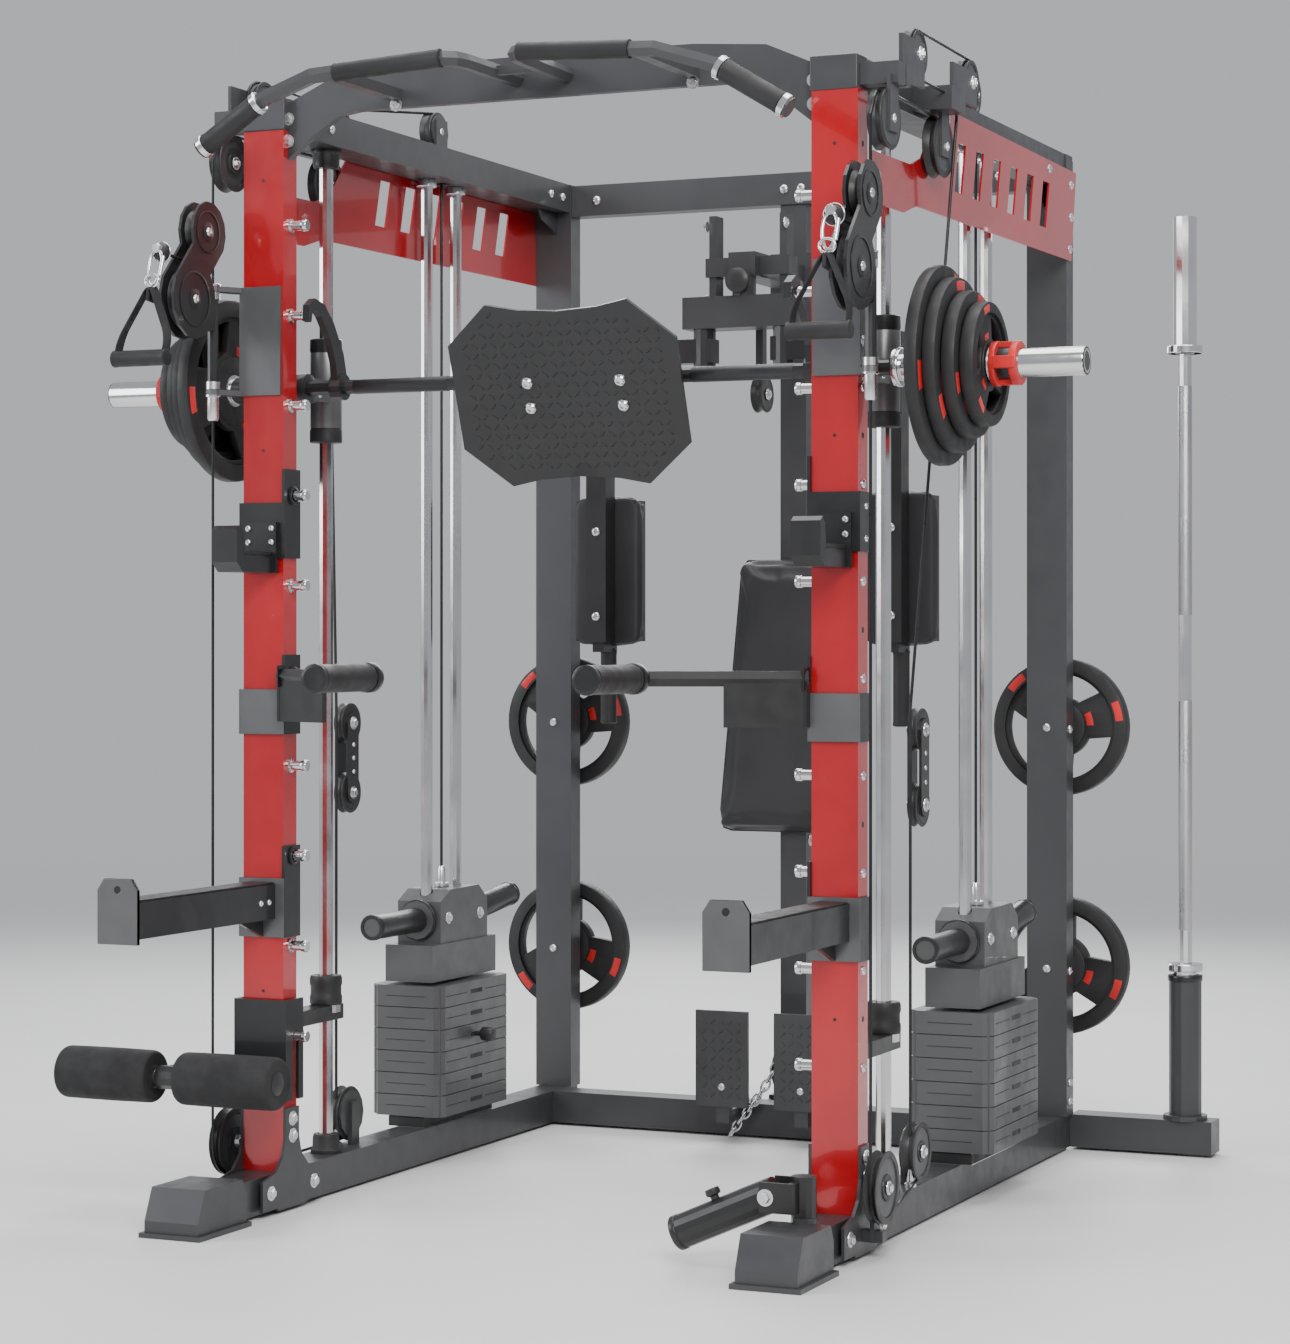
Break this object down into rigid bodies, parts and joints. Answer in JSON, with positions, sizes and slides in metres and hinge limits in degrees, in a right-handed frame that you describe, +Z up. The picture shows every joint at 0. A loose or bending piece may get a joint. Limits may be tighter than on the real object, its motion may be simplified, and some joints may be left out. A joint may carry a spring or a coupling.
{
  "type": "smith machine",
  "caption": "Free-standing smith machine and functional trainer: guided bar, weight stacks, cable trolleys, pec-fly arms and rack attachments.",
  "frame": {"origin": "on the floor, under the middle of the machine's bounding box", "axes": "+X to the machine's right seen from the front, +Y towards the rear, +Z up"},
  "size_m": [1.984, 1.93, 2.177],
  "materials": {
    "red_paint": "gloss powder coat",
    "frame_paint": "satin powder coat",
    "satin_grey": "satin",
    "chrome_steel": "polished",
    "black_paint": "satin powder coat",
    "black_rubber": "matt",
    "foam": "soft closed-cell foam",
    "vinyl": "upholstery vinyl",
    "strap": "woven webbing",
    "cable_jacket": "plastic jacket"
  },
  "bodies": {
    "frame": {"front_upright_left": "red_paint", "front_upright_right": "red_paint", "side_panel_left": "red_paint", "side_panel_right": "red_paint", "base_rail_left": "frame_paint", "base_rail_right": "frame_paint", "rear_base_beam": "frame_paint", "bar_holder": "frame_paint", "rear_upright_left": "frame_paint", "rear_upright_right": "frame_paint", "top_side_rail_left": "frame_paint", "top_side_rail_right": "frame_paint", "rear_top_beam": "frame_paint", "front_arch": "frame_paint", "rear_column": "frame_paint", "pec_bracket": "frame_paint", "smith_rod_left": "chrome_steel", "smith_rod_right": "chrome_steel", "stack_guide_left": "chrome_steel", "stack_guide_right": "chrome_steel", "back_pad": "vinyl", "cable_loop_left": "cable_jacket", "cable_loop_right": "cable_jacket", "lift_cable_left": "cable_jacket", "lift_cable_right": "cable_jacket"},
    "smith_carriages": {"smith_carriage_left": "satin_grey", "smith_carriage_right": "satin_grey"},
    "smith_bar": {"smith_bar": "black_paint", "leg_press_plate": "black_paint"},
    "bar_plates_left": {"bar_plates_left": "black_rubber"},
    "stack_left": {"weight_plates_left": "satin_grey", "weight_head_left": "satin_grey"},
    "pulley_block_left": {"floating_pulley_left": "black_paint"},
    "trolley_left": {"trolley_left": "satin_grey"},
    "swivel_left": {"swivel_head_left": "black_paint"},
    "strap_left": {"strap_handle_left": "strap"},
    "j_hook_left_body": {"j_hook_left": "black_paint"},
    "dip_handle_left_body": {"dip_handle_left": "black_paint"},
    "spotter_arm_left_body": {"spotter_arm_left": "black_paint"},
    "pec_left": {"pec_arm_left": "black_paint"},
    "stored_plate_low_left_body": {"stored_plate_low_left": "black_rubber"},
    "stored_plate_high_left_body": {"stored_plate_high_left": "black_rubber"},
    "bar_plates_right": {"bar_plates_right": "black_rubber"},
    "stack_right": {"weight_plates_right": "satin_grey", "weight_head_right": "satin_grey"},
    "pulley_block_right": {"floating_pulley_right": "black_paint"},
    "trolley_right": {"trolley_right": "satin_grey"},
    "swivel_right": {"swivel_head_right": "black_paint"},
    "strap_right": {"strap_handle_right": "strap"},
    "j_hook_right_body": {"j_hook_right": "black_paint"},
    "dip_handle_right_body": {"dip_handle_right": "black_paint"},
    "spotter_arm_right_body": {"spotter_arm_right": "black_paint"},
    "pec_right": {"pec_arm_right": "black_paint"},
    "stored_plate_low_right_body": {"stored_plate_low_right": "black_rubber"},
    "stored_plate_high_right_body": {"stored_plate_high_right": "black_rubber"},
    "leg_roller": {"leg_roller_bracket": "black_paint"},
    "rollers": {"foam_rollers": "foam"},
    "landmine_yoke": {"landmine_swivel": "black_paint"},
    "landmine_sleeve": {"landmine_tube": "black_paint"},
    "stored_bar": {"olympic_bar": "chrome_steel"}
  },
  "joints": [
    {"name": "smith_slide", "type": "slide", "parent": "frame", "child": "smith_carriages", "axis": [0, 0, 1], "range_m": [-1, 0.24]},
    {"name": "smith_bar_turn", "type": "hinge", "parent": "smith_carriages", "child": "smith_bar", "pos_m": [0, -0.333, 1.562], "axis": [1, 0, 0], "range_deg": [-35, 0]},
    {"name": "bar_plates_left_spin", "type": "hinge", "parent": "smith_bar", "child": "bar_plates_left", "pos_m": [-0.715, -0.333, 1.562], "axis": [1, 0, 0], "continuous": true},
    {"name": "stack_left_lift", "type": "slide", "parent": "frame", "child": "stack_left", "axis": [0, 0, 1], "range_m": [0, 1], "deforming": ["lift_cable_left"]},
    {"name": "pulley_block_left_drop", "type": "slide", "parent": "frame", "child": "pulley_block_left", "axis": [0, 0, 1], "range_m": [-0.5, 0]},
    {"name": "trolley_left_slide", "type": "slide", "parent": "frame", "child": "trolley_left", "axis": [0, 0, 1], "range_m": [-0.085, 0.08]},
    {"name": "swivel_left_turn", "type": "hinge", "parent": "trolley_left", "child": "swivel_left", "pos_m": [-0.658, -0.511, 1.712], "axis": [0, 0, 1], "range_deg": [-20, 20]},
    {"name": "strap_left_swing", "type": "hinge", "parent": "swivel_left", "child": "strap_left", "pos_m": [-0.658, -0.691, 1.79], "axis": [1, 0, 0], "range_deg": [-70, 0]},
    {"name": "j_hook_left_lift_off", "type": "slide", "parent": "frame", "child": "j_hook_left_body", "axis": [0, -1, 0], "range_m": [0, 0.12]},
    {"name": "dip_handle_left_lift_off", "type": "slide", "parent": "frame", "child": "dip_handle_left_body", "axis": [0, -1, 0], "range_m": [0, 0.12]},
    {"name": "spotter_arm_left_lift_off", "type": "slide", "parent": "frame", "child": "spotter_arm_left_body", "axis": [0, -1, 0], "range_m": [0, 0.12]},
    {"name": "pec_left_swing", "type": "hinge", "parent": "frame", "child": "pec_left", "pos_m": [-0.09, 0.535, 1.687], "axis": [0, 0, 1], "range_deg": [-10, 75]},
    {"name": "stored_plate_low_left_slide", "type": "slide", "parent": "frame", "child": "stored_plate_low_left_body", "axis": [0, 1, 0], "range_m": [0, 0.1]},
    {"name": "stored_plate_high_left_slide", "type": "slide", "parent": "frame", "child": "stored_plate_high_left_body", "axis": [0, 1, 0], "range_m": [0, 0.1]},
    {"name": "bar_plates_right_spin", "type": "hinge", "parent": "smith_bar", "child": "bar_plates_right", "pos_m": [0.715, -0.333, 1.562], "axis": [1, 0, 0], "continuous": true},
    {"name": "stack_right_lift", "type": "slide", "parent": "frame", "child": "stack_right", "axis": [0, 0, 1], "range_m": [0, 1], "deforming": ["lift_cable_right"]},
    {"name": "pulley_block_right_drop", "type": "slide", "parent": "frame", "child": "pulley_block_right", "axis": [0, 0, 1], "range_m": [-0.5, 0]},
    {"name": "trolley_right_slide", "type": "slide", "parent": "frame", "child": "trolley_right", "axis": [0, 0, 1], "range_m": [-0.085, 0.08]},
    {"name": "swivel_right_turn", "type": "hinge", "parent": "trolley_right", "child": "swivel_right", "pos_m": [0.658, -0.511, 1.712], "axis": [0, 0, 1], "range_deg": [-20, 20]},
    {"name": "strap_right_swing", "type": "hinge", "parent": "swivel_right", "child": "strap_right", "pos_m": [0.658, -0.691, 1.79], "axis": [1, 0, 0], "range_deg": [-70, 0]},
    {"name": "j_hook_right_lift_off", "type": "slide", "parent": "frame", "child": "j_hook_right_body", "axis": [0, -1, 0], "range_m": [0, 0.12]},
    {"name": "dip_handle_right_lift_off", "type": "slide", "parent": "frame", "child": "dip_handle_right_body", "axis": [0, -1, 0], "range_m": [0, 0.12]},
    {"name": "spotter_arm_right_lift_off", "type": "slide", "parent": "frame", "child": "spotter_arm_right_body", "axis": [0, -1, 0], "range_m": [0, 0.12]},
    {"name": "pec_right_swing", "type": "hinge", "parent": "frame", "child": "pec_right", "pos_m": [0.09, 0.535, 1.687], "axis": [0, 0, 1], "range_deg": [-75, 10]},
    {"name": "stored_plate_low_right_slide", "type": "slide", "parent": "frame", "child": "stored_plate_low_right_body", "axis": [0, 1, 0], "range_m": [0, 0.1]},
    {"name": "stored_plate_high_right_slide", "type": "slide", "parent": "frame", "child": "stored_plate_high_right_body", "axis": [0, 1, 0], "range_m": [0, 0.1]},
    {"name": "leg_roller_lift", "type": "slide", "parent": "frame", "child": "leg_roller", "axis": [0, 0, 1], "range_m": [0, 0.05]},
    {"name": "roller_spin", "type": "hinge", "parent": "leg_roller", "child": "rollers", "pos_m": [-0.715, -0.571, 0.257], "axis": [1, 0, 0], "continuous": true},
    {"name": "landmine_yaw", "type": "hinge", "parent": "frame", "child": "landmine_yoke", "pos_m": [0.575, -0.615, 0.0954], "axis": [0, 0, 1], "range_deg": [-20, 20]},
    {"name": "landmine_pitch", "type": "hinge", "parent": "landmine_yoke", "child": "landmine_sleeve", "pos_m": [0.52, -0.615, 0.13], "axis": [0, 1, 0], "range_deg": [0, 60]},
    {"name": "stored_bar_lift", "type": "slide", "parent": "frame", "child": "stored_bar", "axis": [0, 0, 1], "range_m": [0, 0.35]}
  ],
  "couplings": [
    {"joint": "pulley_block_left_drop", "follows": "stack_left_lift", "ratio": -0.5},
    {"joint": "pulley_block_right_drop", "follows": "stack_right_lift", "ratio": -0.5}
  ]
}
